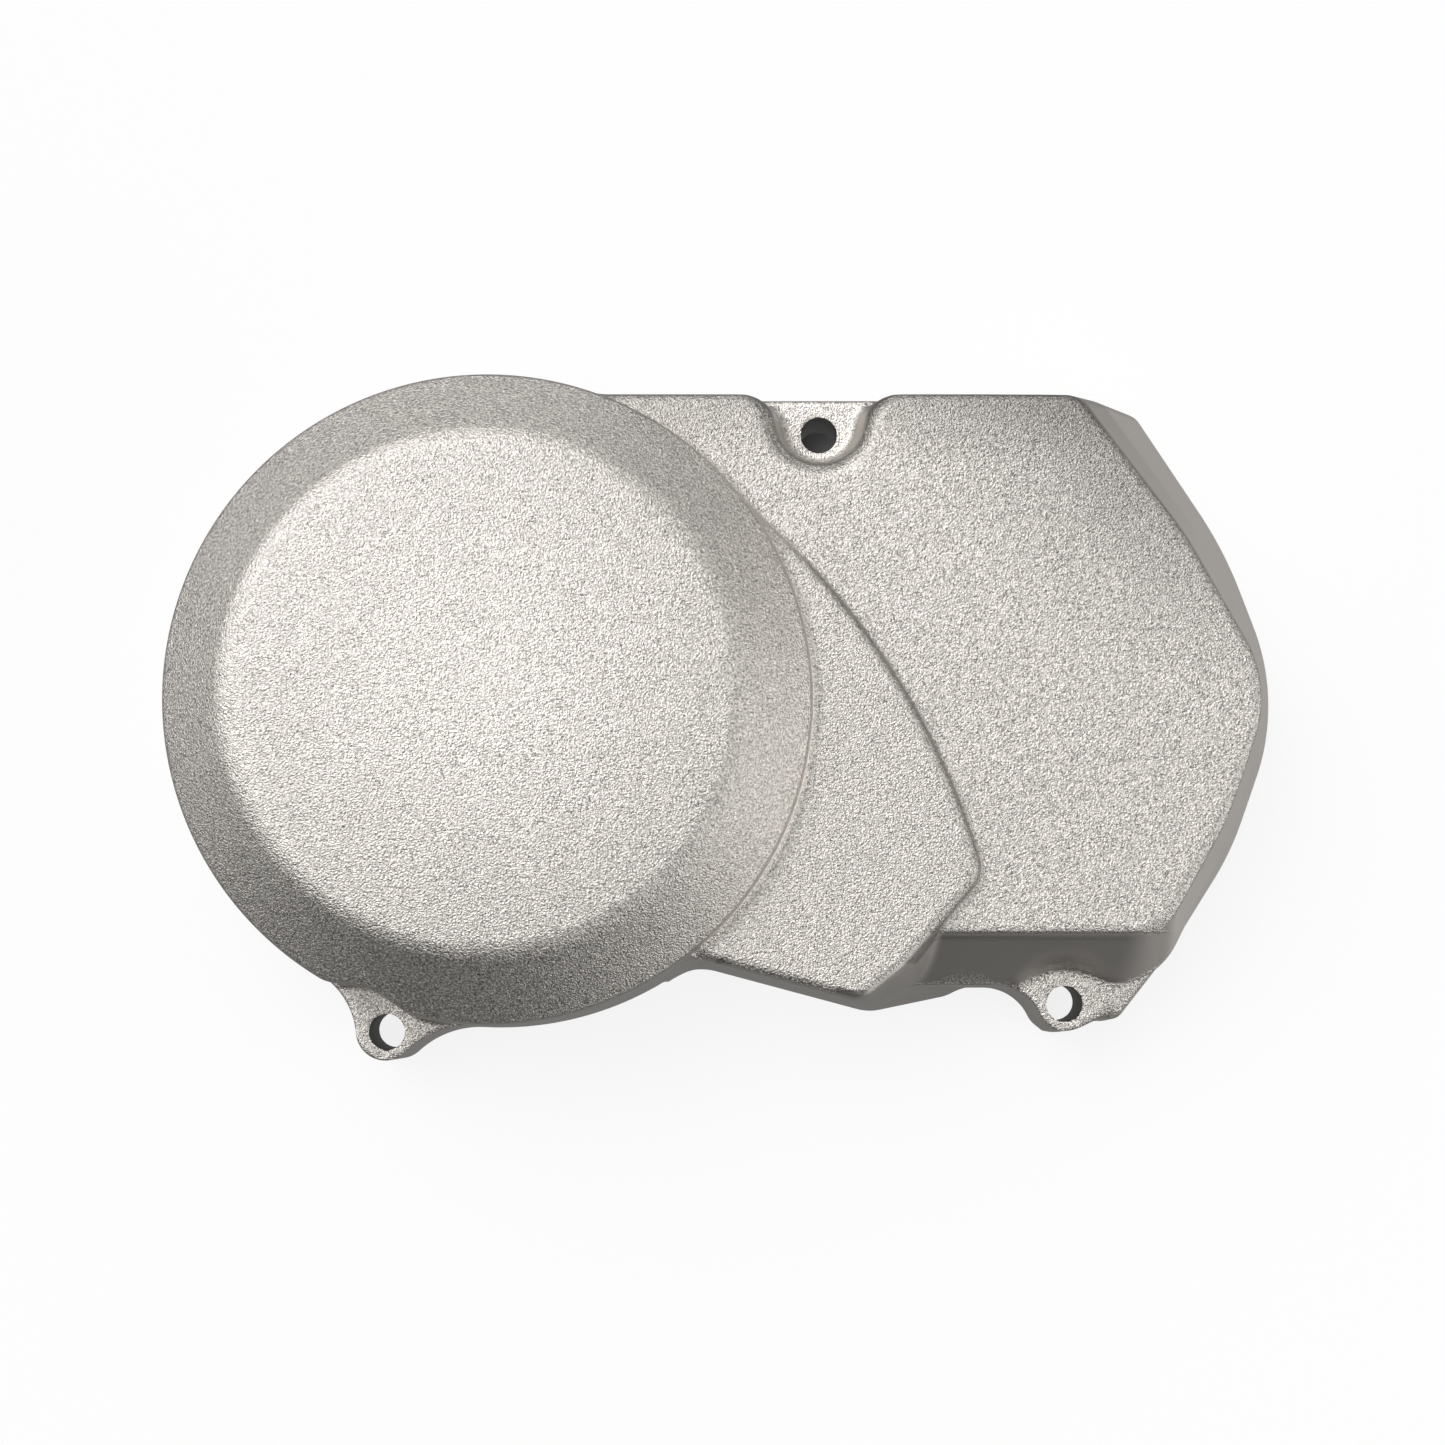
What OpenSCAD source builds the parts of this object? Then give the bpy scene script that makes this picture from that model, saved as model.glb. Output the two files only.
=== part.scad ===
// Left engine cover of a small motorcycle: a die-cast aluminium shell that closes the flywheel
// and the front sprocket. The mating rim lies on z = 0 and the outer face looks up, along +Z.
// Plan positions are measured from the flywheel axis: +X runs to the sprocket bay's nose and
// +Y to its straight top edge. The finished part is moved so that its box is centred on x = y = 0.

/* [Casting] */
// Thickness of the cast wall
wall = 3; // [2:0.25:4]
// Height of the three bolt seats above the mating rim
seat_h = 17.5; // [14:0.5:21]

/* [Flywheel drum] */
// Radius of the drum at the foot of its bevelled ring
drum_r = 61.5; // [58:0.2:68]
// Height of the foot of the ring
ring_h = 34; // [32:0.5:40]
// Width of the bevelled ring, seen from above
ring_w = 13.3; // [8:0.1:20]
// Slope of the ring against the mating plane, in degrees
ring_slope = 45; // [35:1:55]
// Rise of the crowned top above its edge
crown_h = 2.2; // [0.5:0.1:5]
// Draft of the drum's wall, in degrees
drum_draft = 2.5; // [1:0.5:5]
// Rounding of the ring's foot
ring_edge_r = 1.5; // [0.5:0.25:3]
// Rounding of the crease between the ring and the crown
crease_edge_r = 5; // [1:0.5:7]

/* [Sprocket bay] */
// Height of the bay's flat face
bay_h = 28; // [24:0.5:30]
// Distance of the top edge from the flywheel axis
bay_top = 59.2; // [54:0.1:60]
// Distance of the face's bottom edge from the flywheel axis
bay_bottom = 45.9; // [42:0.1:48]
// Sideways place of the face's top corner
top_corner_x = 112.8; // [105:0.2:118]
// Sideways place of the face's bottom corner
bottom_corner_x = 128.5; // [122:0.5:132]
// Sideways place of the nose, where the two long sides of the face would meet
nose_x = 150.1; // [142:0.1:156]
// Height of the nose above the flywheel axis
nose_y = 3.1; // [0:0.1:8]
// Bulge of the face's two long sides beyond a straight line
side_bow = 2.4; // [1:0.1:4]
// Bulge of the same two sides down at the rim
rim_bow = 3.6; // [1:0.1:5]
// Lean of the top corner from the face down to the rim, along X
top_corner_lean = 13.8; // [8:0.2:16]
// Lean of the nose from the face down to the rim, along X
nose_lean = 6.5; // [4:0.1:10]
// Lean of the bottom corner from the face down to the rim, along X
low_corner_lean = 0.9; // [0:0.1:3]
// Lean of the lower wall from the face down to the bolt seats
lower_lean = 8.3; // [5:0.25:10]
// Lean of the upright walls from the face down to the rim
wall_lean = 0.8; // [0.4:0.1:1.6]
// Rounding of the edge of the face
bay_edge_r = 2; // [0.5:0.25:3]
// Share of the face, from its edge inwards, over which it falls away softly
face_band = 0.18; // [0.1:0.01:0.3]
// Fall of the face across that band
face_fall = 0.7; // [0.2:0.1:1.2]

/* [Raised shield] */
// Height of the shield above the face of the bay
shield_step = 3; // [1.5:0.25:5]
// Radius of the shield's long curved edge
shield_arc_r = 142.4; // [136:0.2:150]
// Rounding of the shield's upper edge
shield_edge_r = 1.6; // [0.4:0.2:2]
// Radius of the valley between the drum and the shield
valley_r = 12; // [8:0.5:16]

/* [Bolt holes] */
// Diameter of the three clearance holes, for M6 bolts
bolt_d = 7; // [6.4:0.1:7.6]
// Radius of the lug round the drum hole
lug_r = 5.8; // [5.5:0.1:7]
// Radius of the lug round the lower hole
low_lug_r = 5.2; // [5:0.1:6.4]
// Radius of the spot faces that clear the bolt heads
spot_r = 6.4; // [5.8:0.1:7]
// Gap from the ring's foot to the drum hole's axis
drum_bolt_gap = 5.2; // [4:0.1:6]
// Direction of the drum hole, in degrees from +X
drum_bolt_angle = -108.2; // [-115:0.1:-100]
// Sideways place of the top hole
top_bolt_x = 63.2; // [58:0.1:90]
// Gap from the bay's top edge to the top hole's axis
top_bolt_gap = 6.5; // [5:0.1:7]
// Sideways place of the lower hole
low_bolt_x = 111; // [106:0.5:114]
// Gap from the bay's lower wall, at seat height, to the lower hole's axis
low_bolt_gap = 3.7; // [3.5:0.1:4.5]
// Fillet between the drum and its lug, on the side of the bay
drum_lug_fillet = 18; // [8:0.5:22]
// Fillet between the drum and its lug, on the far side
drum_lug_back_fillet = 15; // [6:0.5:18]
// Fillet between the bay's lower wall and its lug
low_lug_fillet = 10; // [6:0.5:12]
// Depth of the ledge beside the lower hole, from the hole's axis to its edge
ledge_depth = 3; // [1:0.1:4]
// Distance of the ledge's corner inside the line of the leaning wall
ledge_draw = 2.2; // [1:0.1:4]
// Rounding of the ledge's corner
ledge_corner_r = 4; // [1:0.25:5]
// Half width of the notch at the top seat
notch_w = 6.9; // [6.2:0.1:8]
// Distance from the top hole's axis to the notch's round foot
notch_foot = 5.2; // [4.6:0.1:6]
// Lean of the notch's walls from the seat up to the face
notch_lean = 2.2; // [1:0.1:3]
// Radius of the boss under the top seat
boss_r = 7; // [6:0.25:8]

/* [Hidden] */
$fn = 96;
arc_steps = 6;
over = 1;
least_r = 0.4;

// Drum: wall, ring and crown
crease_r = drum_r - ring_w;
crease_h = ring_h + ring_w * tan(ring_slope);
rim_r = drum_r + ring_h * tan(drum_draft);
crown_steps = 8;

// Bay: its outline at the face, at seat height and at the rim. A corner is [x, y, radius].
// The radii are those of the top corner, the nose and the bottom corner, and of the two bows.
bay_root = [10, 66];
seat_t = 1 - seat_h / bay_h;
bay_seat_bottom = bay_bottom + lower_lean;
bay_rim_bottom = bay_seat_bottom + wall_lean;
face_radii = [6, 24, 12];
rim_radii = [4.5, 44, 12];
bow_radii = [80, 60];
face_corners = bay_corners([top_corner_x, bay_top, face_radii[0]], [nose_x, nose_y, face_radii[1]],
                           [bottom_corner_x, -bay_bottom, face_radii[2]], side_bow);
rim_corners = bay_corners([top_corner_x + top_corner_lean, bay_top + wall_lean, rim_radii[0]],
                          [nose_x + nose_lean, nose_y - wall_lean, rim_radii[1]],
                          [bottom_corner_x + low_corner_lean, -bay_rim_bottom, rim_radii[2]], rim_bow);
straight_corners = rim_corners * seat_t + face_corners * (1 - seat_t);
seat_corners = bay_corners(straight_corners[0], straight_corners[2],
                           at_height(straight_corners[3], straight_corners[4], -bay_seat_bottom),
                           side_bow * (1 - seat_t) + rim_bow * seat_t);

// Shield: its outline is the arc, the tip, a soft bend, the foot and the way back into the drum
shield_h = bay_h + shield_step;
shield_arc_centre = [-42.8, -71.2];
shield_arc_ends = [51, 18];
shield_tip = [94.5, -33, 6];
shield_foot_slope = 15;
shield_root = 28;
shield_face = shield_corners([79.6, -50.7, 30], [71.1, -57.4, 5]);
shield_rim = shield_corners([96.6, -55.1, 10], [73.6, -59.9, 10]);

// Valley between the drum and the shield's foot, as the circle that touches both
foot_way = [cos(shield_foot_slope), -sin(shield_foot_slope)];
foot_out = [-sin(shield_foot_slope), -cos(shield_foot_slope)];
foot_gap = foot_out * plan(shield_rim[len(shield_rim) - 2]) + valley_r;
valley_centre = foot_out * foot_gap + foot_way * sqrt((rim_r + valley_r) ^ 2 - foot_gap ^ 2);
valley_depth = 30;
valley_taper = 0.9;

// Bolt places
drum_bolt = (drum_r + drum_bolt_gap) * [cos(drum_bolt_angle), sin(drum_bolt_angle)];
top_bolt = [top_bolt_x, bay_top - top_bolt_gap];
low_bolt = [low_bolt_x, -bay_seat_bottom - low_bolt_gap];

// Box of the finished part, from the outlines that reach furthest
box_right = max([for (p = rounded(rim_corners)) p[0]]);
box_bottom = min(drum_bolt[1] - lug_r, low_bolt[1] - low_lug_r);
box_centre = [(box_right - rim_r) / 2, (rim_r + box_bottom) / 2];

function unit(v) = v / norm(v);
function turned(v, angle) = [v[0] * cos(angle) - v[1] * sin(angle), v[0] * sin(angle) + v[1] * cos(angle)];
function plan(v) = [v[0], v[1]];

// The point at height y on the line through a and b, with b's radius
function at_height(a, b, y) = [a[0] + (b[0] - a[0]) * (y - a[1]) / (b[1] - a[1]), y, b[2]];

// The middle of a and b, pushed out to the left of the way from a to b
function bowed(a, b, bow, r) = concat(plan(a + b) / 2 + bow * turned(unit(plan(b - a)), 90), r);

// Outline of the bay, clockwise from its top corner: two long bowed sides meet at the nose, and
// the outline closes inside the shield and the drum
function bay_corners(top, nose, low, bow) = [
    top, bowed(top, nose, bow, bow_radii[0]), nose, bowed(nose, low, bow, bow_radii[1]), low,
    [bay_root[1], low[1], 0], [bay_root[0], 0, 0], [bay_root[0], top[1], 0]];

// Outline of the shield, clockwise along its arc: the tip, a soft bend, the foot and the way
// back into the drum
function shield_corners(bend, foot) = concat(
    [for (t = [0:0.1:1])
        let (a = shield_arc_ends[0] * (1 - t) + shield_arc_ends[1] * t)
        concat(shield_arc_centre + shield_arc_r * [cos(a), sin(a)], 0)],
    [shield_tip, bend, foot,
     [shield_root, foot[1] + (foot[0] - shield_root) * tan(shield_foot_slope), 0],
     [shield_root, shield_root, 0]]);

// Moves every side of a clockwise outline inwards and shrinks its corner radii to match
function shrunk(corners, inset) = [
    for (i = [0:len(corners) - 1])
        let (n = len(corners),
             here = plan(corners[i]),
             u = unit(plan(corners[(i + n - 1) % n]) - here),
             v = unit(plan(corners[(i + 1) % n]) - here),
             inward = unit(turned(v, -90) + turned(u, 90)))
        concat(here + inward * inset / (inward * turned(v, -90)),
               corners[i][2] == 0 ? 0 : max(corners[i][2] - inset, least_r))];

// Replaces each corner [x, y, r] by an arc that touches both of its sides
function rounded(corners) = [
    for (i = [0:len(corners) - 1])
        let (n = len(corners),
             r = corners[i][2],
             here = plan(corners[i]),
             u = unit(plan(corners[(i + n - 1) % n]) - here),
             v = unit(plan(corners[(i + 1) % n]) - here),
             half = acos(u * v) / 2,
             centre = here + unit(u + v) * r / sin(half),
             start = here + u * r / tan(half) - centre,
             turn = (180 - 2 * half) * sign(cross(v, u)))
        each r == 0 ? [here] : [for (k = [0:arc_steps]) centre + turned(start, turn * k / arc_steps)]];

// One level of a loft: a rounded outline at height z
function level(corners, z, inset = 0) = [for (p = rounded(shrunk(corners, inset))) concat(p, z)];

// Solid through a list of levels, lowest first, whose outlines run clockwise
module loft(levels) {
    n = len(levels[0]);
    top = n * (len(levels) - 1);
    strips = [for (i = [0:ceil(n / 2) - 2])
        i + 1 == n - 2 - i ? [i, i + 1, n - 1 - i] : [i, i + 1, n - 2 - i, n - 1 - i]];
    sides = [for (k = [0:len(levels) - 2], i = [0:n - 1])
        let (a = k * n + i,
             b = k * n + (i + 1) % n)
        each [[b + n, a + n, a], [b + n, a, b]]];
    polyhedron(points = [for (one = levels) each one],
               faces = concat([for (f = strips) [for (j = [len(f) - 1:-1:0]) f[j]]],
                              [for (f = strips) [for (p = f) p + top]], sides));
}

// Corners of the drum's half section, shrunk by inset: [radius, height, rounding]
function drum_section(inset, foot) = concat(
    [[0, foot, 0],
     [rim_r - inset - foot * tan(drum_draft), foot, 0],
     [drum_r - inset, ring_h - inset * tan((90 - ring_slope) / 2), ring_edge_r],
     [crease_r - inset * tan(ring_slope / 2), crease_h - inset, crease_edge_r]],
    [for (i = [1:crown_steps])
        let (t = 1 - i / crown_steps)
        [t * crease_r, crease_h - inset + crown_h * (1 - t * t), 0]]);

// The drum: a drafted wall, a bevelled ring and a low crown, turned about the flywheel axis
module drum(inset = 0, foot = 0) {
    rotate_extrude()
        polygon(rounded(drum_section(inset, foot)));
}

// The sprocket bay: leaning walls from the rim to the face, a bend at seat height in the
// lower wall, a rounded edge and a band where the face falls away
module bay(inset = 0, foot = 0) {
    top = bay_h - inset;
    middle = [face_corners[0][0] / 2, (bay_top - bay_bottom) / 2, 0];
    brink = shrunk(face_corners, inset + bay_edge_r);
    inner = [for (c = brink) concat(plan(c) * (1 - face_band) + plan(middle) * face_band, c[2])];
    loft(concat(
        foot < 0 ? [level(rim_corners, foot, inset)] : [],
        [level(rim_corners, 0, inset),
         level(seat_corners, seat_h - inset / 2, inset)],
        [for (a = [0:30:90])
            level(face_corners, top - face_fall - bay_edge_r * (1 - sin(a)), inset + bay_edge_r * (1 - cos(a)))],
        [level(inner, top)]));
}

// The raised shield between the drum and the bay, drafted down to the rim
module shield(inset = 0, foot = 0) {
    top = shield_h - inset;
    loft(concat(
        foot < 0 ? [level(shield_rim, foot, inset)] : [],
        [level(shield_rim, 0, inset)],
        [for (a = [0:30:90])
            level(shield_face, top - shield_edge_r * (1 - sin(a)), inset + shield_edge_r * (1 - cos(a)))]));
}

// Web that fills the corner between the drum and the shield's foot, hollowed by the valley
module valley() {
    touch = [valley_centre * rim_r / norm(valley_centre), valley_centre - foot_out * valley_r];
    pivot = unit(valley_centre) * (norm(valley_centre) - valley_r - valley_depth);
    translate(pivot)
        linear_extrude(shield_h - shield_edge_r, scale = valley_taper)
            translate(-pivot)
                difference() {
                    polygon([valley_centre, touch[0], pivot, touch[1]]);
                    translate(valley_centre)
                        circle(valley_r);
                }
}

// The lug of the drum hole: a round ear with a fillet to the drum on each side
module drum_lug() {
    span = norm(drum_bolt);
    linear_extrude(seat_h) {
        translate(drum_bolt)
            circle(lug_r);
        for (side = [[drum_lug_fillet, 1], [drum_lug_back_fillet, -1]]) {
            r = side[0];
            reach = drum_r + r;
            angle = acos((reach ^ 2 + span ^ 2 - (lug_r + r) ^ 2) / (2 * reach * span));
            fillet = turned(unit(drum_bolt) * reach, side[1] * angle);
            difference() {
                polygon([drum_bolt, drum_bolt * (drum_r - wall) / span, fillet * (drum_r - wall) / reach, fillet]);
                translate(fillet)
                    circle(r);
            }
        }
    }
}

// The lug of the lower hole: a round ear with one fillet to the bay's lower wall
module low_lug() {
    fillet_y = -bay_rim_bottom - low_lug_fillet;
    fillet_x = low_bolt[0] - sqrt((low_lug_r + low_lug_fillet) ^ 2 - (fillet_y - low_bolt[1]) ^ 2);
    linear_extrude(seat_h) {
        translate(low_bolt)
            circle(low_lug_r);
        difference() {
            polygon([low_bolt, [fillet_x, fillet_y], [fillet_x, -bay_bottom], [low_bolt[0], -bay_bottom]]);
            translate([fillet_x, fillet_y])
                circle(low_lug_fillet);
        }
    }
}

// The ledge right of the lower hole, where the seat's plane runs on to the leaning wall: outline
// at one level, from the bay's corners there and the depth of the ledge's edge
function ledge_corners(corners, depth) =
    let (y = low_bolt[1] - depth,
         inner = at_height(corners[3], corners[4], -bay_bottom),
         outer = at_height(corners[3], corners[4], y))
    [[low_bolt[0], -bay_bottom, 0], [inner[0] - 1, -bay_bottom, 0],
     [outer[0] - ledge_draw, y, ledge_corner_r], [low_bolt[0], y, 0]];

module ledge() {
    loft([level(ledge_corners(rim_corners, ledge_depth), 0),
          level(ledge_corners(seat_corners, ledge_depth - wall_lean), seat_h)]);
}

// Outline of the notch at the top seat, clockwise from its left mouth: a round foot between two
// straight sides that flare where they break the top edge
function notch_outline(w, foot, mouth_r, z) =
    let (y = w - foot,
         round_end = [for (a = [0:15:180]) [w * cos(a), y - w * sin(a)]],
         flare = [for (a = [0:15:75]) [w + mouth_r * (1 - sin(a)), y + mouth_r * cos(a)]],
         right = concat([[w + mouth_r, top_bolt_gap + over * 3]], flare),
         half_plan = concat(right, round_end, [for (i = [len(right) - 1:-1:0]) [-right[i][0], right[i][1]]]))
    [for (p = half_plan) [p[0] + top_bolt[0], p[1] + top_bolt[1], z]];

// The notch, grown by inset, from height low up past the face
module notch(inset, low) {
    rise = bay_h - seat_h;
    high = bay_h + over;
    mouth_r = top_bolt_gap - notch_w + notch_foot;
    loft([for (z = [low, high])
        let (lean = notch_lean * (z - seat_h) / rise)
        notch_outline(notch_w + inset + lean, notch_foot + inset + lean, max(mouth_r - inset, least_r), z)]);
}

// Metal that stays inside the shell: the top boss, the notch's wall and the spot faces' walls
module bolt_metal() {
    translate(top_bolt)
        cylinder(h = seat_h, r = boss_r);
    notch(wall, seat_h - wall);
    for (place = [drum_bolt, low_bolt])
        translate(concat(place, seat_h - wall))
            cylinder(h = shield_h, r = spot_r + wall);
}

// Everything that is cut for the bolts and their heads
module bolt_cuts() {
    for (place = [drum_bolt, low_bolt, top_bolt])
        translate(concat(place, -over))
            cylinder(h = seat_h + 2 * over, d = bolt_d);
    for (place = [drum_bolt, low_bolt])
        translate(concat(place, seat_h))
            cylinder(h = shield_h, r = spot_r);
    notch(0, seat_h);
}

module cover() {
    color("silver")
        translate(concat(-box_centre, 0))
            difference() {
                union() {
                    drum();
                    bay();
                    shield();
                    valley();
                    drum_lug();
                    low_lug();
                    ledge();
                }
                difference() {
                    union() {
                        drum(wall, -over);
                        bay(wall, -over);
                        shield(wall, -over);
                    }
                    bolt_metal();
                }
                bolt_cuts();
            }
}

cover();
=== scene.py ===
import math

import bpy
import numpy as np
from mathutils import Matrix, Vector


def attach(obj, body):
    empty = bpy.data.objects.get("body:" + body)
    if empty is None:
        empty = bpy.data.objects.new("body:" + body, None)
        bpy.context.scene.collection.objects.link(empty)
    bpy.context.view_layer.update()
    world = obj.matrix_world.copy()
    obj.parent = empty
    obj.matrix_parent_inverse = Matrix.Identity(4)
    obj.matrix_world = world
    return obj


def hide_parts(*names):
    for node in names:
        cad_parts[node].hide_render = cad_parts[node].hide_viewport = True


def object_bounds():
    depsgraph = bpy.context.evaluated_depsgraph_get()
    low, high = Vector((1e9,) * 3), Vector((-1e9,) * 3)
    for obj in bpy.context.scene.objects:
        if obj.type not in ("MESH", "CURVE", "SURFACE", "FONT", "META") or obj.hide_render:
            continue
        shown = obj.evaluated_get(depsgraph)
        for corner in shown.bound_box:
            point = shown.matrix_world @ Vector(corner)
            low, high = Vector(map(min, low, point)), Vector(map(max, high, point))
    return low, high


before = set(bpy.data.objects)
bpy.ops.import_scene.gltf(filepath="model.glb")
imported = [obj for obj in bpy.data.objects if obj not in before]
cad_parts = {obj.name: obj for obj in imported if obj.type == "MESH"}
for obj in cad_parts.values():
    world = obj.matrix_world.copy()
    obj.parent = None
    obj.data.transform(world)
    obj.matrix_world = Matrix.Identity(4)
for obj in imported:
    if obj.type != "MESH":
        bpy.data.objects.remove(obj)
cad_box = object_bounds()

# The casting: left engine cover of a small motorcycle, die-cast in one piece of aluminium with
# 3 mm walls. Its forms are worked out here in millimetres from the flywheel's axis, each as a
# field that is below zero in the metal, so that the radii of the die can run from form to form.
BOX_CENTRE = (45.3908, -3.08933)
WALL = 3.0
SEAT_H = 17.5


def round_max(a, b, r):
    """Metal common to a and b, with its edge rounded: the larger of the two values, but the
    distance from the rounding's centre line where both lie within r of the surface."""
    return np.minimum(np.maximum(a, b), -r) + np.hypot(np.maximum(a + r, 0), np.maximum(b + r, 0))


def round_min(a, b, r):
    """Metal of a and b together, with a hollow fillet of radius r between them."""
    return -round_max(-a, -b, r)


def smooth_step(a, b, t):
    """Goes from 0 at a to 1 at b, with level ends: 3 s^2 - 2 s^3."""
    s = np.clip((t - a) / (b - a), 0, 1)
    return s * s * (3 - 2 * s)


def at_height(z, levels):
    """The corners [x, y, radius] of an outline at height z, on straight lines between its levels."""
    heights = [level[0] for level in levels]
    return [[np.interp(z, heights, [level[1][k][part] for level in levels]) for part in range(3)]
            for k in range(len(levels[0][1]))]


def line_side(x, y, a, b):
    """Distance outside the line from corner a to corner b of a clockwise outline, with its normal."""
    dx = b[0] - a[0]
    dy = b[1] - a[1]
    length = np.hypot(dx, dy)
    nx = -dy / length
    ny = dx / length
    return (x - a[0]) * nx + (y - a[1]) * ny, nx, ny


def convex(sides, radii):
    """Distance outside a convex outline: the largest of its sides' distances, or, in the wedge
    between the normals of two neighbours, the distance outside the circle that rounds their corner."""
    far = sides[0][0]
    for one in sides[1:]:
        far = np.maximum(far, one[0])
    for k, r in radii.items():
        a, ax, ay = sides[k]
        b, bx, by = sides[(k + 1) % len(sides)]
        cosine = np.clip(ax * bx + ay * by, -1, 0.999999)
        half_cos = np.sqrt((1 + cosine) / 2)
        half_sin = np.sqrt((1 - cosine) / 2)
        u = (a + b) / 2 / half_cos + r / half_cos
        v = (a - b) / 2 / half_sin
        wedge = (np.abs(v) * half_cos < u * half_sin) & (u > 0)
        far = np.where(wedge, np.maximum(far, np.hypot(u, v) - r), far)
    return far


# Flywheel drum: a drafted round wall, a bevelled ring at 45 degrees and a low crown
DRUM_R = 61.5
RING_H = 34.0
RING_W = 13.3
CREASE_R = DRUM_R - RING_W
CREASE_H = RING_H + RING_W
CROWN_H = 2.2
DRUM_DRAFT = math.tan(math.radians(2.5))
RING_EDGE_R = 0.5
CROWN_EDGE_R = 1.5


def drum_wall(x, y, z):
    """Distance outside the drum's drafted wall, a cone that widens downwards."""
    return np.hypot(x, y) - DRUM_R - (RING_H - z) * DRUM_DRAFT


def drum(x, y, z, wall):
    """Ring and crown on a wall, with soft edges between them."""
    r = np.hypot(x, y)
    ring = (r - DRUM_R + z - RING_H) * math.sqrt(0.5)
    crown = z - CREASE_H - CROWN_H * (1 - (r / CREASE_R) ** 2)
    return round_max(round_max(wall, ring, RING_EDGE_R), crown, CROWN_EDGE_R)


# Sprocket bay: leaning walls under a flat face that falls away a little towards its edges
BAY_H = 28.0
BAY_EDGE_H = 25.3
BAY_LIP_H = 28.3
BAY_TOP_Y = 59.2
LOW_SEAT_Y = -54.2
RIM_BOW = 3.6
FACE_BOW = 2.4
BOW_RADII = (80, 60)
TOP_FALL = 0.7
RIGHT_FALL = 1.1
LOW_FALL = 0.5


def bay_corners(top, nose, low, bow, bow_radii):
    """Corners of the bay's outline, clockwise from its top corner. Each long side is bowed: its
    middle is moved outwards by bow, at right angles to the line from end to end."""
    corners = [top]
    for a, b, r in ((top, nose, bow_radii[0]), (nose, low, bow_radii[1])):
        dx, dy = b[0] - a[0], b[1] - a[1]
        span = math.hypot(dx, dy)
        corners.append([(a[0] + b[0]) / 2 - dy / span * bow, (a[1] + b[1]) / 2 + dx / span * bow, r])
        corners.append(b)
    return corners + [[66.0, low[1], 0], [10.0, 0, 0], [10.0, top[1], 0]]


def bay_face(low_y):
    """Corners of the bay's face, with its lower side at low_y."""
    return bay_corners([112.8, BAY_TOP_Y, 6], [150.1, 3.1, 24], [128.5, low_y, 12], FACE_BOW, BOW_RADII)


BAY_RIM = bay_corners([126.6, 60.0, 4.5], [156.6, 2.3, 44], [129.4, -55.0, 18], RIM_BOW, BOW_RADII)
BAY_FACE = bay_face(-46.85)
BAY_LIP = bay_face(-44.0)
SEAT_SHARE = 1 - SEAT_H / BAY_H
BAY_SEAT = [[r * SEAT_SHARE + f * (1 - SEAT_SHARE) for r, f in zip(rim, face)]
            for rim, face in zip(BAY_RIM, bay_face(-45.9))]
for k in (4, 5):
    BAY_SEAT[k][1] = LOW_SEAT_Y
BAY_LEVELS = [(0, BAY_RIM), (SEAT_H, BAY_SEAT), (BAY_EDGE_H, BAY_FACE), (BAY_LIP_H, BAY_LIP)]


def bay_plan(x, y, z):
    """Distance outside the bay's outline at height z."""
    corners = at_height(z, BAY_LEVELS)
    n = len(corners)
    sides = [line_side(x, y, corners[k], corners[(k + 1) % n]) for k in range(n)]
    return convex(sides, {(k - 1) % n: corners[k][2] for k in range(5)})


def face_height(x, y):
    """Height of the bay's face: level in the middle, with a short fall along the top edge and a
    wide soft one at the upper right, as squares of the way left to the edge."""
    side = line_side(x, y, BAY_FACE[0], BAY_FACE[2])[0] - FACE_BOW
    upper = smooth_step(-12, 30, y)
    top = np.clip(1 - (BAY_TOP_Y - y) / 10, 0, 1)
    right = np.clip(1 + side / 20, 0, 1.2) * upper
    low = np.clip(1 + side / 12, 0, 1.2) * (1 - upper)
    return BAY_H - TOP_FALL * top ** 2 - RIGHT_FALL * right ** 2 - LOW_FALL * low ** 2


def bay_edge_r(y):
    """Radius of the edge round the bay's face, which is tighter along the bottom."""
    return 1.4 + 0.6 * smooth_step(-42, -30, y)


def bay(x, y, z):
    """The bay's walls and face, with the rounded edge between them."""
    return round_max(bay_plan(x, y, z), z - face_height(x, y), bay_edge_r(y))


# Raised shield: a plate 3 mm proud of the bay, between the drum and one long arc
SHIELD_H = 31.0
SHIELD_ARC = (-42.8, -71.2, 142.4)
SHIELD_FACE = [[94.5, -33, 6], [79.6, -50.7, 30], [71.1, -57.4, 5],
               [28, -45.86, 0], [28, 28, 0], [46.8, 39.5, 0]]
SHIELD_RIM = [[94.5, -33, 6], [96.6, -55.1, 10], [73.6, -59.9, 10],
              [28, -47.68, 0], [28, 28, 0], [46.8, 39.5, 0]]
SHIELD_EDGE_H = 29.4
SHIELD_LEVELS = [(0, SHIELD_RIM), (SHIELD_EDGE_H, SHIELD_FACE)]
SHIELD_EDGE_R = 2.3


def shield(x, y, z):
    """The plate's outline, one side of it a circle's arc, under a level top with a soft edge."""
    corners = at_height(z, SHIELD_LEVELS)
    sides = [line_side(x, y, corners[k], corners[k + 1]) for k in range(5)]
    dx = x - SHIELD_ARC[0]
    dy = y - SHIELD_ARC[1]
    reach = np.hypot(dx, dy)
    arc = (reach - SHIELD_ARC[2], dx / reach, dy / reach)
    plan = convex([arc] + sides, {k: corners[k][2] for k in range(3)})
    return round_max(plan, z - SHIELD_H, SHIELD_EDGE_R)


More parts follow.
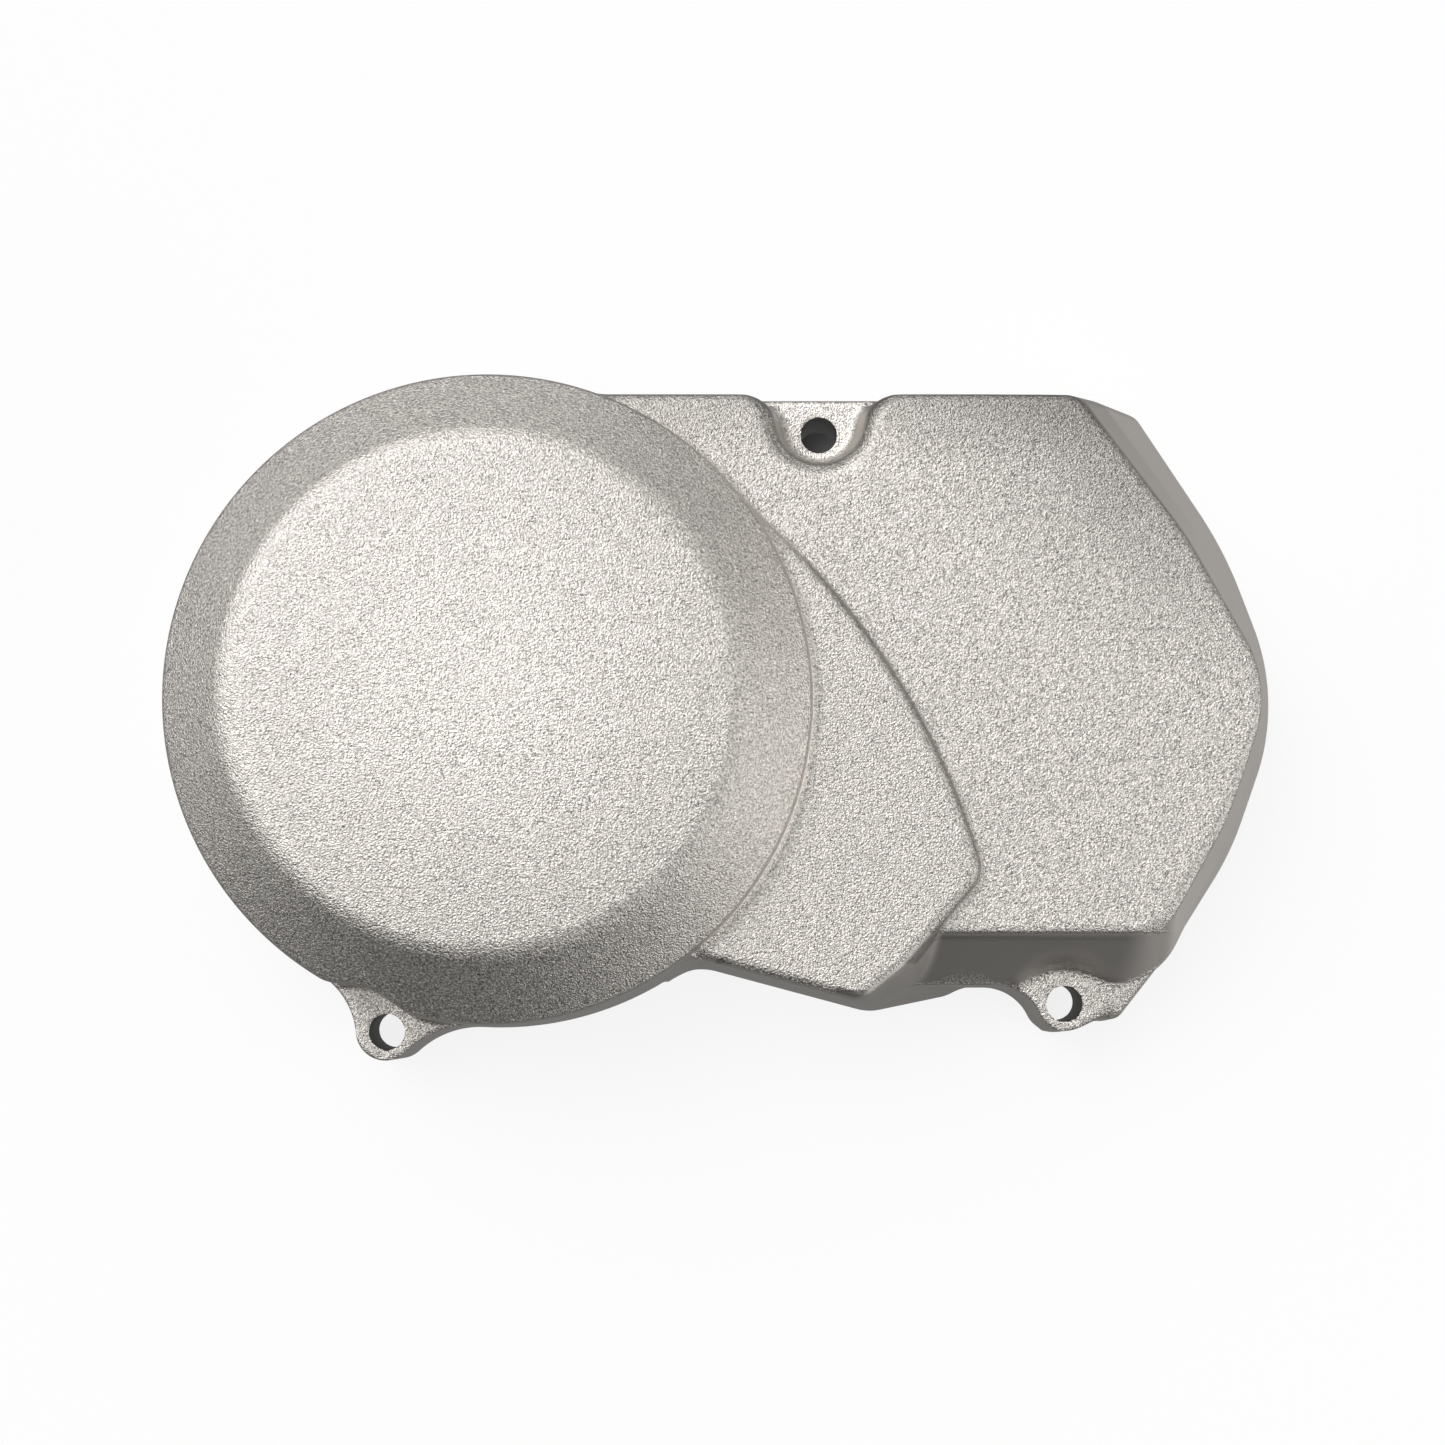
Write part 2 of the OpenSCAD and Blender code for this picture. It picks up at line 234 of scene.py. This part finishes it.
# Valley: the web between the drum and the shield's foot, hollowed by a 12 mm radius
VALLEY_R = 12.0
VALLEY_CENTRE = (40.12, -63.35)
VALLEY_TOUCH = ((33.70, -53.21), (43.23, -51.76))
VALLEY_PIVOT = (17.65, -27.87)
VALLEY_TAPER = 0.1
VALLEY_EDGE_R = 1.6


def valley(x, y, z):
    """A four-cornered web less the valley's circle, drawn in towards a pivot with height."""
    scale = 1 - VALLEY_TAPER * np.clip(z / SHIELD_H, 0, 1)
    px = VALLEY_PIVOT[0] + (x - VALLEY_PIVOT[0]) / scale
    py = VALLEY_PIVOT[1] + (y - VALLEY_PIVOT[1]) / scale
    corners = [VALLEY_CENTRE, VALLEY_TOUCH[0], VALLEY_PIVOT, VALLEY_TOUCH[1]]
    web = convex([line_side(px, py, corners[k], corners[(k + 1) % 4]) for k in range(4)], {})
    hollow = VALLEY_R - np.hypot(px - VALLEY_CENTRE[0], py - VALLEY_CENTRE[1])
    return round_max(np.maximum(web, hollow) * scale, z - SHIELD_H, VALLEY_EDGE_R)


# Lugs, ledge, spot faces and notch round the three bolt holes
DRUM_BOLT = (-20.833, -63.363)
TOP_BOLT = (63.2, 52.7)
LOW_BOLT = (111.0, -57.9)
BOLT_R = 3.5
SPOT_R = 6.4
SPOT_MOUTH_R = 5.0
BOSS_R = 7.0
SEAT_FOOT_R = 1.4
LUG_EDGE_R = 0.8
LUG_INNER_R = 50.0
DRUM_RECESS = (-24.3, -60.9, 5.2)
RECESS_MOUTH_R = 6.0
DRUM_LUG = [(0, (-20.2, -63.34, 5.8)), (SEAT_H, (-21.25, -63.2, 5.75))]
DRUM_FILLETS = (18.0, 15.0)
LOW_LUG = [(0, (110.7, -57.9, 5.9)), (SEAT_H, (111.0, -57.9, 5.2))]
LOW_FILLET = 10.0
LEDGE_DRAFT = 0.05
LEDGE_INNER_R = 3.0
LEDGE_ROLL_R = 2.2
LEDGE_CORNERS = [[130.2, -49.6, 0], [121.5, -60.8, 3], [111, -60.8, 0], [111, -45, 0], [130.2, -45, 0]]
NOTCH_W = 6.9
NOTCH_FOOT = 5.2
NOTCH_LEAN = 2.2
NOTCH_MOUTH_R = 6.5


def from_axis(x, y, bolt):
    """Distance from a bolt's axis."""
    return np.hypot(x - bolt[0], y - bolt[1])


def from_bolts(x, y):
    """Distance from the nearest of the three bolts' axes."""
    lower = np.minimum(from_axis(x, y, DRUM_BOLT), from_axis(x, y, LOW_BOLT))
    return np.minimum(lower, from_axis(x, y, TOP_BOLT))


def seated(plan, wall, z, edge_r):
    """A lug cut off level at the seat, with a rounded edge, and a small fillet where the seat
    meets the wall that rises from it."""
    lug = round_max(plan, z - SEAT_H, edge_r)
    foot = np.maximum(round_min(wall, z - SEAT_H, SEAT_FOOT_R), z - SEAT_H - SEAT_FOOT_R)
    return np.minimum(lug, np.maximum(plan + edge_r, foot))


def ear(x, y, z, levels):
    """Centre and radius of a round ear at height z, and the distance outside it."""
    heights = [one[0] for one in levels]
    cx, cy, r = [np.interp(z, heights, [one[1][k] for one in levels]) for k in range(3)]
    return cx, cy, r, np.hypot(x - cx, y - cy) - r


def notch(x, y, z):
    """Distance outside the notch's plan, a round foot between straight sides that lean out upwards."""
    wide = NOTCH_W + NOTCH_LEAN * (z - SEAT_H) / (BAY_H - SEAT_H)
    up = y - TOP_BOLT[1] - NOTCH_W + NOTCH_FOOT
    return np.hypot(x - TOP_BOLT[0], np.minimum(up, 0)) - wide


def cut_bay_plan(x, y, z):
    """The bay's outline above the seats, with the notch and the lower spot face cut into it and
    the corners where they meet the walls rounded."""
    cut = round_max(bay_plan(x, y, z), -notch(x, y, z), NOTCH_MOUTH_R)
    return round_max(cut, SPOT_R - from_axis(x, y, LOW_BOLT), SPOT_MOUTH_R)


def cut_drum_wall(x, y, z):
    """The drum's wall with a shallow recess beside the bolt's head, above the seat."""
    recess = DRUM_RECESS[2] - from_axis(x, y, DRUM_RECESS)
    plain = drum_wall(x, y, z)
    return np.where(z > SEAT_H - 1, round_max(plain, recess, RECESS_MOUTH_R), plain)


def drum_lug(x, y, z):
    """A round ear with a fillet to the drum on each side. A fillet's circle touches the ear and
    the drum; its web is the corner between the drum's centre, the ear's and its own."""
    cx, cy, r, plan = ear(x, y, z, DRUM_LUG)
    wall = DRUM_R + (RING_H - z) * DRUM_DRAFT
    span = np.hypot(cx, cy)
    for fillet, side in zip(DRUM_FILLETS, (1, -1)):
        reach = wall + fillet
        turn = np.arccos((reach ** 2 + span ** 2 - (r + fillet) ** 2) / (2 * reach * span)) * side
        fx = (cx * np.cos(turn) - cy * np.sin(turn)) * reach / span
        fy = (cx * np.sin(turn) + cy * np.cos(turn)) * reach / span
        corners = ((cx, cy), (fx, fy), (0, 0))
        edges = [line_side(x, y, corners[k], corners[(k + 1) % 3])[0] * side for k in range(3)]
        web = -np.minimum(np.minimum(edges[0], edges[1]), edges[2])
        plan = np.minimum(plan, np.maximum(web, fillet - np.hypot(x - fx, y - fy)))
    plan = np.maximum(plan, LUG_INNER_R - np.hypot(x, y))
    return seated(plan, cut_drum_wall(x, y, z), z, LUG_EDGE_R)


def low_lug(x, y, z):
    """A round ear with one fillet to the bay's lower wall, and on its other side the ledge, where
    the seat's plane runs on in a narrow strip and rolls over."""
    low = np.minimum(z, SEAT_H)
    cx, cy, r, plan = ear(x, y, low, LOW_LUG)
    line = np.interp(low, [0, SEAT_H], [BAY_RIM[4][1], BAY_SEAT[4][1]])
    fy = line - LOW_FILLET
    fx = cx - np.sqrt((r + LOW_FILLET) ** 2 - (fy - cy) ** 2)
    across = line_side(x, y, (cx, cy), (fx, fy))[0]
    web = np.maximum(np.maximum(across, fx - x), np.maximum(y + 50, x - cx))
    ear_plan = np.minimum(plan, np.maximum(web, LOW_FILLET - np.hypot(x - fx, y - fy)))
    sides = [line_side(x, y, LEDGE_CORNERS[k], LEDGE_CORNERS[(k + 1) % 5]) for k in range(5)]
    strip = convex(sides, {0: LEDGE_CORNERS[1][2]}) - LEDGE_DRAFT * (SEAT_H - low)
    plan = np.minimum(ear_plan, round_min(plan, strip, LEDGE_INNER_R))
    edge_r = LUG_EDGE_R + LEDGE_ROLL_R * smooth_step(115, 120, x)
    return seated(plan, cut_bay_plan(x, y, z), z, edge_r)


def notched_bay(x, y, z):
    """The bay above its seats, with the face's rounded edge, on the plain bay below them."""
    edge_r = bay_edge_r(y) + 1.2 * smooth_step(18, 10, from_axis(x, y, TOP_BOLT))
    upper = round_max(cut_bay_plan(x, y, z), z - face_height(x, y), edge_r)
    seat = seated(bay_plan(x, y, z), cut_bay_plan(x, y, z), z, 1.2)
    return np.minimum(upper, seat)


# The whole casting: all forms together, hollowed to the wall's thickness, bored, and cut off level
# at the mating rim, then meshed, thinned out where it is plain, and kept inside the solid's box
SHIELD_FOOT_R = 1.0
DRUM_FOOT_R = 1.6
BORE_EDGE_R = 0.35
CELL = 0.62
GRID_LOW = (-64.2, -71.3, -0.45)
GRID_HIGH = (155.6, 64.1, 51.2)
KEPT_FACES = 0.36


def outer(x, y, z):
    """All outer forms together, with fillets at the feet of the drum and the shield."""
    plate = np.minimum(shield(x, y, z), valley(x, y, z))
    ring = drum(x, y, z, cut_drum_wall(x, y, z))
    body = round_min(round_min(notched_bay(x, y, z), plate, SHIELD_FOOT_R), ring, DRUM_FOOT_R)
    return np.minimum(body, np.minimum(drum_lug(x, y, z), low_lug(x, y, z)))


def kept_metal(x, y, z):
    """Metal left inside the shell: the top boss, and a wall round the notch and the spot faces."""
    boss = np.maximum(from_axis(x, y, TOP_BOLT) - BOSS_R, z - SEAT_H)
    metal = np.minimum(boss, np.maximum(notch(x, y, z) - WALL, SEAT_H - WALL - z))
    for bolt in (DRUM_BOLT, LOW_BOLT):
        metal = np.minimum(metal, np.maximum(from_axis(x, y, bolt) - SPOT_R - WALL, SEAT_H - WALL - z))
    return metal


def casting(x, y, z):
    """The outer forms, less the same forms set in by the wall, less the bores, above the rim."""
    shell = drum(x, y, z, drum_wall(x, y, z))
    hollow = np.minimum(np.minimum(shell, bay(x, y, z)), shield(x, y, z)) + WALL
    metal = np.maximum(outer(x, y, z), np.minimum(-hollow, kept_metal(x, y, z)))
    return np.maximum(round_max(metal, BOLT_R - from_bolts(x, y), BORE_EDGE_R), -z)


def slopes(field, points, step=0.02):
    """Unit normals of a field at points: its central differences along the three axes."""
    normals = np.empty_like(points)
    for axis in range(3):
        shift = np.zeros(3)
        shift[axis] = step
        normals[:, axis] = field(*(points + shift).T) - field(*(points - shift).T)
    return normals / np.maximum(np.linalg.norm(normals, axis=1, keepdims=True), 1e-9)


def skin(field, low, high, cell, pull=0.05):
    """The field's zero surface as quads, by dual contouring: each grid edge that the surface
    crosses gives a quad, and the corner of a quad is the point of its cell that lies nearest to
    the tangent planes at that cell's crossings, so that edges stay crisp. A slight pull towards
    the crossings' middle settles where it lies on a flat."""
    axes = [np.arange(a, b, cell) for a, b in zip(low, high)]
    counts = [len(a) - 1 for a in axes]
    values = field(axes[0][:, None, None], axes[1][None, :, None], axes[2][None, None, :])
    points, normals, cells, flips = [], [], [], []
    for a in range(3):
        b, c = (a + 1) % 3, (a + 2) % 3
        first = np.moveaxis(values, a, 0)[:-1]
        last = np.moveaxis(values, a, 0)[1:]
        where = np.argwhere(np.moveaxis((first < 0) != (last < 0), 0, a))
        at = [where[:, k].copy() for k in range(3)]
        v0 = values[tuple(at)]
        at[a] += 1
        v1 = values[tuple(at)]
        start = np.stack([axes[k][where[:, k]] for k in range(3)], 1)
        t0, t1 = np.zeros_like(v0), np.ones_like(v0)
        w0, w1 = v0.copy(), v1.copy()
        for _ in range(3):
            t = np.clip(t0 + (t1 - t0) * w0 / (w0 - w1), t0, t1)
            p = start.copy()
            p[:, a] += t * cell
            w = field(*p.T)
            same = (w < 0) == (v0 < 0)
            t0, w0 = np.where(same, t, t0), np.where(same, w, w0)
            t1, w1 = np.where(same, t1, t), np.where(same, w1, w)
        points.append(p)
        normals.append(slopes(field, p))
        around = []
        for ob, oc in ((-1, -1), (0, -1), (0, 0), (-1, 0)):
            cell_at = where.copy()
            cell_at[:, b] += ob
            cell_at[:, c] += oc
            around.append((cell_at[:, 0] * counts[1] + cell_at[:, 1]) * counts[2] + cell_at[:, 2])
        cells.append(np.stack(around, 1))
        flips.append(v0 > 0)
    points, normals = np.concatenate(points), np.concatenate(normals)
    cells, flips = np.concatenate(cells), np.concatenate(flips)
    names, corner = np.unique(cells.ravel(), return_inverse=True)
    corner = corner.reshape(-1, 4)
    n = len(names)

    def gather(values_at):
        return np.bincount(corner.ravel(), weights=np.repeat(values_at, 4), minlength=n)

    count = gather(np.ones(len(points)))
    middle = np.stack([gather(points[:, k]) for k in range(3)], 1) / count[:, None]
    plane = np.empty((n, 3, 3))
    target = np.empty((n, 3))
    along = (points * normals).sum(1)
    for i in range(3):
        target[:, i] = gather(normals[:, i] * along)
        for j in range(3):
            plane[:, i, j] = gather(normals[:, i] * normals[:, j])
    target -= np.einsum("nij,nj->ni", plane, middle)
    step = np.linalg.solve(plane + pull * np.eye(3), target[:, :, None])[:, :, 0]
    length = np.linalg.norm(step, axis=1, keepdims=True)
    middle += step * np.minimum(1, cell / np.maximum(length, 1e-9))
    quads = np.where(flips[:, None], corner[:, ::-1], corner)
    return middle, quads


corners_mm, quads = skin(casting, GRID_LOW, GRID_HIGH, CELL)
in_metres = (corners_mm - [BOX_CENTRE[0], BOX_CENTRE[1], 0]) / 1000
mesh = bpy.data.meshes.new("sprocket_cover")
mesh.from_pydata(in_metres.tolist(), [], quads.tolist())
mesh.update()
cast_cover = bpy.data.objects.new("cast_cover", mesh)
bpy.context.scene.collection.objects.link(cast_cover)
fewer = cast_cover.modifiers.new("fewer", "DECIMATE")
fewer.ratio = KEPT_FACES
mesh = bpy.data.meshes.new_from_object(cast_cover.evaluated_get(bpy.context.evaluated_depsgraph_get()))
cast_cover.modifiers.clear()
cast_cover.data = mesh
spots = np.empty(len(mesh.vertices) * 3, np.float32)
mesh.vertices.foreach_get("co", spots)
spots = np.clip(spots.reshape(-1, 3), cad_box[0], cad_box[1])
mesh.vertices.foreach_set("co", spots.ravel().astype(np.float32))
mesh.update()
mesh.shade_smooth()
mesh.set_sharp_from_angle(angle=math.radians(40))
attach(cast_cover, "root")
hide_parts("cover")


# The casting's finish: bare die-cast aluminium, shot-blasted so that its faces, ring, crown and
# seats carry a fine even grain, while the steep walls keep the smooth skin of the die.
# Two values lie on the mesh: how much of the grain each place has, and painted light and shade: how much
# brighter or darker than the plain metal each place is painted where the lamps alone do not give its tone.
RIGHT_WALLS_PAINTED_LIGHT = 0.55
SEAT_PAINTED_LIGHT = 0.3
STEP_PAINTED_SHADE = 0.35
LOW_WALL_PAINTED_SHADE = 0.05
BORE_PAINTED_SHADE = 0.15
at = np.empty(len(mesh.vertices) * 3, np.float32)
facing = np.empty(len(mesh.vertices) * 3, np.float32)
mesh.vertices.foreach_get("co", at)
mesh.vertices.foreach_get("normal", facing)
x_mm, y_mm, z_mm = (at.reshape(-1, 3) * 1000 + [BOX_CENTRE[0], BOX_CENTRE[1], 0]).T
right, back, up = facing.reshape(-1, 3).T
low_wall = (x_mm > 66) & (y_mm < -44) & (z_mm > 17.9)
blasted = smooth_step(0.45, 0.62, up) * (1 - np.where(low_wall, smooth_step(0.2, 0.45, -back), 0))
# Painted light: the bay's walls that face right are made brighter.
right_walls = smooth_step(0.5, 0.8, right) * smooth_step(0.6, 0.4, up) * (x_mm > 100)
outward = right * x_mm + back * y_mm > 0
# Painted shade: the steep outward step at the shield's edge is made darker.
shield_step = smooth_step(0.95, 0.7, up) * outward * (z_mm > 27) * (z_mm < 31.5)
shield_step = shield_step * (np.hypot(x_mm, y_mm) > 66) * (x_mm < 96) * (y_mm > -50)
top_way = from_axis(x_mm, y_mm, TOP_BOLT)
# Painted light: the level seat round the top bolt is made brighter.
painted_light_seat = smooth_step(12, 9, top_way) * smooth_step(0.9, 0.97, up) * (z_mm < 20)
# Painted shade: the notch's walls are made darker, most where they face -x.
inward = right * (x_mm - TOP_BOLT[0]) + back * (y_mm - TOP_BOLT[1]) < 0
notch_wall = smooth_step(15, 13.5, top_way) * smooth_step(0.92, 0.75, up) * inward * (z_mm > 18)
# Painted light and shade on the mesh: the painted highlights times the painted shade, as a factor on the
# metal's colour.
painted_light_and_shade = (1 + RIGHT_WALLS_PAINTED_LIGHT * right_walls) * (1 + SEAT_PAINTED_LIGHT * painted_light_seat)
# Painted shade: the part of the low wall that faces towards -y is made a little darker.
painted_light_and_shade = painted_light_and_shade * (1 - STEP_PAINTED_SHADE * shield_step) * (1 - LOW_WALL_PAINTED_SHADE * low_wall * (back < -0.3))
painted_light_and_shade = painted_light_and_shade * (1 - (0.2 - 0.15 * right) * notch_wall)
# Painted shade: the walls of the bolt bores are made nearly black.
painted_light_and_shade = np.where((from_bolts(x_mm, y_mm) < BOLT_R + 0.3) & (up < 0.5), BORE_PAINTED_SHADE, painted_light_and_shade)
mesh.attributes.new("grain", "FLOAT", "POINT").data.foreach_set("value", blasted.astype(np.float32))
mesh.attributes.new("painted_light_and_shade", "FLOAT", "POINT").data.foreach_set("value", painted_light_and_shade.astype(np.float32))


class Sock:
    """A shader socket that takes part in Python sums: each operator adds one Math node."""

    def __init__(self, tree, socket):
        self.tree = tree
        self.socket = socket

    def math(self, operation, *values, clamp=False):
        node = self.tree.nodes.new("ShaderNodeMath")
        node.operation = operation
        node.use_clamp = clamp
        for place, value in zip(node.inputs, (self, *values)):
            if isinstance(value, Sock):
                self.tree.links.new(value.socket, place)
            else:
                place.default_value = value
        return Sock(self.tree, node.outputs[0])

    def __add__(self, other):
        return self.math("ADD", other)

    def __sub__(self, other):
        return self.math("SUBTRACT", other)

    def __mul__(self, other):
        return self.math("MULTIPLY", other)

    def share(self, low, high):
        """0 below low, 1 above high, straight between."""
        return ((self - low) * (1 / (high - low))).math("ADD", 0.0, clamp=True)


def add_node(tree, kind, settings=None, **sockets):
    """Adds a node of a type: its settings first, then the values or links of its sockets, each
    named as in Blender or, as n0, n1 and n2, by its number. Returns its outputs by name."""
    node = tree.nodes.new(kind)
    for name, value in (settings or {}).items():
        setattr(node, name, value)
    for name, value in sockets.items():
        key = int(name[1:]) if name[0] == "n" and name[1:].isdigit() else name.replace("_", " ")
        if isinstance(value, Sock):
            tree.links.new(value.socket, node.inputs[key])
        else:
            node.inputs[key].default_value = value
    return {out.name: Sock(tree, out) for out in node.outputs}


def new_tree(block):
    """The empty shader tree of a material or a world."""
    block.use_nodes = True
    block.node_tree.nodes.clear()
    return block.node_tree


def vector_number(operation, first, second):
    """The number that one Vector Math node gives for a socket and a point or direction."""
    outputs = add_node(first.tree, "ShaderNodeVectorMath", {"operation": operation}, n0=first, n1=second)
    return outputs["Value"]


def ahead_of(place, way, start):
    """Distance in metres along a direction from a point of the drawing, given in millimetres."""
    length = math.hypot(*way)
    way = (way[0] / length, way[1] / length, 0)
    passed = (start[0] - BOX_CENTRE[0]) * way[0] + (start[1] - BOX_CENTRE[1]) * way[1]
    return vector_number("DOT_PRODUCT", place, way) - passed / 1000


def away_from(place, spot):
    """Distance in metres from a point of the drawing, given in millimetres."""
    spot = ((spot[0] - BOX_CENTRE[0]) / 1000, (spot[1] - BOX_CENTRE[1]) / 1000, spot[2] / 1000)
    return vector_number("DISTANCE", place, spot)


# The bare metal: its colour, the fine pits and specks of the blasting, painted shade on the bay along
# its top and right edges, painted light on the crown, and a few short scratches beside the notch and on
# the bay
GRAIN_COLOUR = 2.0
GRAIN_ROUGHNESS = 0.4
TOP_PAINTED_SHADE = 0.28
RIGHT_PAINTED_SHADE = 0.3
CROWN_PAINTED_LIGHT = 0.17
SCRATCH_BRIGHTER = 0.3
ALUMINIUM = (0.63, 0.6, 0.564, 1)
SCRATCHES = [((43.3, 58.6), (46.9, 58.2)), ((48.4, 57.7), (51.1, 56.7)), ((43.0, 57.0), (43.8, 56.6)),
             ((115.7, -16.8), (113.8, -30.2)), ((112.9, -19.5), (113.6, -26.0))]
metal = bpy.data.materials.new("blasted_aluminium")
tree = new_tree(metal)
place = add_node(tree, "ShaderNodeTexCoord")["Object"]
blast = add_node(tree, "ShaderNodeAttribute", {"attribute_name": "grain"})["Fac"]
painted_light_and_shade = add_node(tree, "ShaderNodeAttribute", {"attribute_name": "painted_light_and_shade"})["Fac"]
pits = add_node(tree, "ShaderNodeTexNoise", Vector=place, Scale=2800.0, Detail=1.0, Roughness=0.5)["Fac"]
specks = add_node(tree, "ShaderNodeTexNoise", Vector=place, Scale=2200.0, Detail=1.0, Roughness=0.5)["Fac"]
shift = (specks - 0.5) * blast
height = add_node(tree, "ShaderNodeSeparateXYZ", Vector=place)["Z"]
on_bay = height.share(0.0245, 0.0255) * height.share(0.0296, 0.0290)
on_bay = on_bay * away_from(place, (0, 0, BAY_H)).share(0.0625, 0.0635)
# Painted shade on the bay's face along its top edge and along its right edge.
top_band = ahead_of(place, (0, 1), (0, 45)).share(0, 0.012)
side_way = (BAY_FACE[2][1] - BAY_FACE[0][1], BAY_FACE[0][0] - BAY_FACE[2][0])
right_band = ahead_of(place, (-side_way[0], -side_way[1]), BAY_FACE[0]).share(-0.034, -0.004)
right_band = right_band * ahead_of(place, (0, 1), (0, 0)).share(0.002, 0.04)
# Painted light on the middle of the crown.
on_crown = height.share(0.0470, 0.0475) * away_from(place, (8, -2, 49)).share(0.045, 0.005)
painted_shade_bands = (top_band * -TOP_PAINTED_SHADE + 1.0) * (right_band * -RIGHT_PAINTED_SHADE + 1.0)
painted_light_and_shade = ((painted_shade_bands - 1.0) * on_bay + 1.0) * painted_light_and_shade * (on_crown * CROWN_PAINTED_LIGHT + 1.0)
scratched = 0.0
for start, end in SCRATCHES:
    way = (end[0] - start[0], end[1] - start[1])
    half = math.hypot(*way) / 2000
    middle = ((start[0] + end[0]) / 2, (start[1] + end[1]) / 2)
    along = ahead_of(place, way, middle).math("ABSOLUTE")
    across = ahead_of(place, (-way[1], way[0]), middle).math("ABSOLUTE")
    scratched = across.share(0.00014, 0.00005) * along.share(half, half * 0.6) + scratched
bump = add_node(tree, "ShaderNodeBump", Strength=0.9, Distance=0.0003, Height=pits * blast)["Normal"]
shaded = add_node(tree, "ShaderNodeHueSaturation", Hue=0.5, Saturation=1.0, Fac=1.0, Color=ALUMINIUM,
                  Value=(shift * GRAIN_COLOUR + 1.0) * painted_light_and_shade + scratched * SCRATCH_BRIGHTER)["Color"]
metal_shade = add_node(tree, "ShaderNodeBsdfPrincipled", Base_Color=shaded, Metallic=1.0,
                       Roughness=shift * GRAIN_ROUGHNESS + 0.45, Normal=bump)["BSDF"]
add_node(tree, "ShaderNodeOutputMaterial", Surface=metal_shade)
mesh.materials.append(metal)


# Floor: a sheet of white paper under the part, plain white in the picture apart from the part's
# soft shadow and a painted shadow under the top bolt hole, and dim to the metal, which mirrors it only at
# grazing angles.
FLOOR_SEEN = 0.85
FLOOR_MIRRORED = 0.245
bpy.ops.mesh.primitive_plane_add(size=1.6, location=(0, 0, 0))
floor = bpy.context.object
floor.name = "floor"
paper = bpy.data.materials.new("white_paper")
tree = new_tree(paper)
rays = add_node(tree, "ShaderNodeLightPath")
seen = rays["Is Camera Ray"]
mirrored = rays["Is Glossy Ray"]
white = add_node(tree, "ShaderNodeEmission", Color=(1, 1, 1, 1),
                 Strength=seen + mirrored * FLOOR_MIRRORED)
matt = add_node(tree, "ShaderNodeBsdfDiffuse", Color=(0.9, 0.9, 0.9, 1))
place = add_node(tree, "ShaderNodeTexCoord")["Object"]
# Painted shadow: in a disc of 8 to 9 mm round the foot of the top bolt hole the floor's white glow is left
# out, so that hole looks dark.
from_hole = away_from(place, (TOP_BOLT[0], TOP_BOLT[1] - 2, 0))
shown = seen * from_hole.share(0.008, 0.009) * FLOOR_SEEN
mixed = add_node(tree, "ShaderNodeMixShader", n0=shown + mirrored, n1=matt["BSDF"], n2=white["Emission"])
add_node(tree, "ShaderNodeOutputMaterial", Surface=mixed["Shader"])
floor.data.materials.append(paper)


# Light: a dark room with large soft lamps, written as round patches on the world's sphere. Each
# has its compass direction and its height in degrees, and its brightness. The camera sees white.
LAMPS = [(120, 62, 2.35), (180, 62, 1.05), (300, 62, 0.6), (135, 38, 2.05), (180, 38, 0.4), (0, 8, 1.95),
         (60, 8, 1.05), (90, 8, 1.15), (120, 8, 0.45), (180, 8, 1.25), (330, 8, 1.85)]
LAMP_FULL = math.cos(math.radians(10))
LAMP_FADED = math.cos(math.radians(32))
world = bpy.data.worlds.new("room")
bpy.context.scene.world = world
tree = new_tree(world)
way = add_node(tree, "ShaderNodeTexCoord")["Generated"]
rays = add_node(tree, "ShaderNodeLightPath")
room = 0.0
for compass, raised, bright in LAMPS:
    turn, lift = math.radians(compass), math.radians(raised)
    aim = (math.cos(turn) * math.cos(lift), math.sin(turn) * math.cos(lift), math.sin(lift))
    near = vector_number("DOT_PRODUCT", way, aim)
    room = near.share(LAMP_FADED, LAMP_FULL) * bright + room
seen = rays["Is Camera Ray"]
glow = room * (seen * -1.0 + 1.0) + seen
backdrop = add_node(tree, "ShaderNodeBackground", Color=(1, 1, 1, 1), Strength=glow)["Background"]
add_node(tree, "ShaderNodeOutputWorld", Surface=backdrop)
bpy.context.scene.view_settings.view_transform = "Standard"


# Camera: straight above, as in the photograph, with its picture plane level with the rim and the
# lens shifted to frame the part.
lens = bpy.data.cameras.new("camera")
camera = bpy.data.objects.new("camera", lens)
bpy.context.scene.collection.objects.link(camera)
bpy.context.scene.camera = camera
camera.location = (0.00131, -0.04336, 0.600)
lens.lens = 74.6
lens.sensor_width = 36
lens.shift_x = -0.00796
lens.shift_y = 0.15398
lens.clip_start = 0.01
